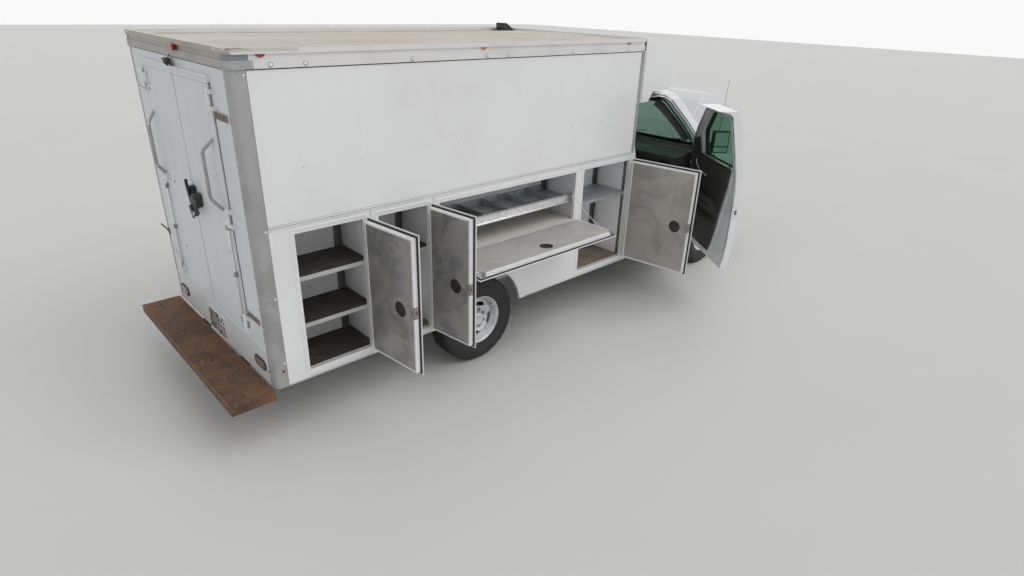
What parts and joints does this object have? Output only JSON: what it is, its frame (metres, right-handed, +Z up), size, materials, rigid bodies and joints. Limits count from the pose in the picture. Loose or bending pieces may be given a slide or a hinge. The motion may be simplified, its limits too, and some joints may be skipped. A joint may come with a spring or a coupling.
{
  "type": "box-body service truck",
  "caption": "Cutaway-cab service truck with a tall box body, hinged side lockers, rear barn doors and a rear step.",
  "frame": {"origin": "on the ground, below the middle of the whole truck as it stands", "axes": "+X forward, +Y to the truck's left, +Z up"},
  "size_m": [6.645, 3.1406, 2.6825],
  "materials": {
    "white_paint": "gloss, dirty in places",
    "aged_white": "satin, weathered",
    "roof_sheet": "matt with warm dirt",
    "aluminium_rail": "satin, scuffed",
    "brushed_door": "brushed, smudged",
    "galvanised": "galvanised",
    "frame_black": "chassis black with dust",
    "axle_steel": "bare, lightly rusted",
    "engine_metal": "plain block",
    "exhaust_steel": "heat stained",
    "wheel_silver": "silver paint",
    "tyre": "matt rubber",
    "glass": "green tint",
    "black_plastic": "grained",
    "lamp_lens": "clear lens",
    "red_lens": "red lens",
    "seat_cloth": "woven",
    "rusty_plate": "rust brown"
  },
  "bodies": {
    "chassis": {"box_floor": "galvanised", "cab_floor": "black_plastic", "cab_shell": "white_paint", "chassis_frame": "frame_black", "corner_posts": "aluminium_rail", "dashboard": "black_plastic", "engine": "engine_metal", "exhaust": "exhaust_steel", "front_bumper": "black_plastic", "front_suspension": "axle_steel", "front_wall": "aged_white", "fuel_tank": "frame_black", "grille": "black_plastic", "headlamps": "lamp_lens", "locker_left": "white_paint", "locker_right": "white_paint", "nose_cone": "white_paint", "propeller_shaft": "axle_steel", "rear_axle": "axle_steel", "rear_bumper": "rusty_plate", "rear_frame": "aged_white", "rear_lamps": "red_lens", "roof": "roof_sheet", "roof_vent": "black_plastic", "seat_bases": "frame_black", "seats": "seat_cloth", "shelves": "galvanised", "side_panels": "white_paint", "top_rail": "aluminium_rail", "windscreen": "glass", "wings": "white_paint"},
    "cab_door_left": {"cab_door_left": "white_paint", "cab_glass_left": "glass"},
    "cab_door_right": {"cab_door_right": "white_paint", "cab_glass_right": "glass"},
    "hood": {"hood": "white_paint"},
    "knuckle_left": {"knuckle_left": "axle_steel"},
    "knuckle_right": {"knuckle_right": "axle_steel"},
    "locker_door_left_front": {"locker_door_left_front": "brushed_door"},
    "locker_door_left_long": {"locker_door_left_long": "brushed_door"},
    "locker_door_left_narrow": {"locker_door_left_narrow": "brushed_door"},
    "locker_door_left_rear": {"locker_door_left_rear": "brushed_door"},
    "locker_door_right_front": {"locker_door_right_front": "brushed_door"},
    "locker_door_right_long": {"locker_door_right_long": "brushed_door"},
    "locker_door_right_narrow": {"locker_door_right_narrow": "brushed_door"},
    "locker_door_right_rear": {"locker_door_right_rear": "brushed_door"},
    "rear_door_left": {"rear_door_left": "aged_white"},
    "rear_door_right": {"rear_door_right": "aged_white"},
    "steering_wheel": {"steering_wheel": "black_plastic"},
    "wheel_front_left": {"tyre_front_left": "tyre", "rim_front_left": "wheel_silver"},
    "wheel_front_right": {"tyre_front_right": "tyre", "rim_front_right": "wheel_silver"},
    "wheel_rear_left": {"tyre_rear_left": "tyre", "rim_rear_left": "wheel_silver"},
    "wheel_rear_right": {"tyre_rear_right": "tyre", "rim_rear_right": "wheel_silver"}
  },
  "joints": [
    {"name": "steer_left", "type": "hinge", "parent": "chassis", "child": "knuckle_left", "pos_m": [2.4005, 1.03433, 0.382], "axis": [0, 0, 1], "range_deg": [-33, 33]},
    {"name": "roll_front_left", "type": "hinge", "parent": "knuckle_left", "child": "wheel_front_left", "pos_m": [2.4005, 1.20233, 0.382], "axis": [0, 1, 0], "continuous": true},
    {"name": "roll_rear_left", "type": "hinge", "parent": "chassis", "child": "wheel_rear_left", "pos_m": [-1.1995, 1.20333, 0.382], "axis": [0, 1, 0], "continuous": true},
    {"name": "cab_door_left_hinge", "type": "hinge", "parent": "chassis", "child": "cab_door_left", "pos_m": [1.9555, 1.33533, 1], "axis": [0, 0, -1], "range_deg": [0, 67]},
    {"name": "rear_door_left_hinge", "type": "hinge", "parent": "chassis", "child": "rear_door_left", "pos_m": [-3.0345, 0.99233, 1.6], "axis": [0, 0, -1], "range_deg": [0, 115]},
    {"name": "locker_left_rear_hinge", "type": "hinge", "parent": "chassis", "child": "locker_door_left_rear", "pos_m": [-2.2395, 1.33233, 1], "axis": [0, 0, -1], "range_deg": [0, 96]},
    {"name": "locker_left_narrow_hinge", "type": "hinge", "parent": "chassis", "child": "locker_door_left_narrow", "pos_m": [-1.7015, 1.33233, 1], "axis": [0, 0, -1], "range_deg": [0, 97]},
    {"name": "locker_left_long_hinge", "type": "hinge", "parent": "chassis", "child": "locker_door_left_long", "pos_m": [-0.848, 1.33233, 1.047], "axis": [-1, 0, 0], "range_deg": [0, 90]},
    {"name": "locker_left_front_hinge", "type": "hinge", "parent": "chassis", "child": "locker_door_left_front", "pos_m": [0.7275, 1.33233, 1], "axis": [0, 0, -1], "range_deg": [0, 98]},
    {"name": "steer_right", "type": "hinge", "parent": "chassis", "child": "knuckle_right", "pos_m": [2.4005, -0.35967, 0.382], "axis": [0, 0, 1], "range_deg": [-33, 33]},
    {"name": "roll_front_right", "type": "hinge", "parent": "knuckle_right", "child": "wheel_front_right", "pos_m": [2.4005, -0.52767, 0.382], "axis": [0, 1, 0], "continuous": true},
    {"name": "roll_rear_right", "type": "hinge", "parent": "chassis", "child": "wheel_rear_right", "pos_m": [-1.1995, -0.52867, 0.382], "axis": [0, 1, 0], "continuous": true},
    {"name": "cab_door_right_hinge", "type": "hinge", "parent": "chassis", "child": "cab_door_right", "pos_m": [1.9555, -0.66067, 1], "axis": [0, 0, 1], "range_deg": [-53, 14]},
    {"name": "rear_door_right_hinge", "type": "hinge", "parent": "chassis", "child": "rear_door_right", "pos_m": [-3.0345, -0.31767, 1.6], "axis": [0, 0, 1], "range_deg": [0, 115]},
    {"name": "locker_right_rear_hinge", "type": "hinge", "parent": "chassis", "child": "locker_door_right_rear", "pos_m": [-2.2395, -0.65767, 1], "axis": [0, 0, 1], "range_deg": [-96, 0]},
    {"name": "locker_right_narrow_hinge", "type": "hinge", "parent": "chassis", "child": "locker_door_right_narrow", "pos_m": [-1.7015, -0.65767, 1], "axis": [0, 0, 1], "range_deg": [-97, 0]},
    {"name": "locker_right_long_hinge", "type": "hinge", "parent": "chassis", "child": "locker_door_right_long", "pos_m": [-0.848, -0.65767, 1.047], "axis": [1, 0, 0], "range_deg": [-90, 0]},
    {"name": "locker_right_front_hinge", "type": "hinge", "parent": "chassis", "child": "locker_door_right_front", "pos_m": [0.7275, -0.65767, 1], "axis": [0, 0, 1], "range_deg": [-98, 0]},
    {"name": "hood_hinge", "type": "hinge", "parent": "chassis", "child": "hood", "pos_m": [2.4005, 0.33733, 1.362], "axis": [0, -1, 0], "range_deg": [-60, 6]},
    {"name": "steering_wheel_turn", "type": "hinge", "parent": "chassis", "child": "steering_wheel", "pos_m": [1.5605, 0.80733, 1.325], "axis": [-0.848, 0, 0.5299], "range_deg": [-462, 462]}
  ],
  "couplings": [
    {"joint": "steer_right", "follows": "steer_left", "ratio": 1},
    {"joint": "steering_wheel_turn", "follows": "steer_left", "ratio": 14}
  ]
}
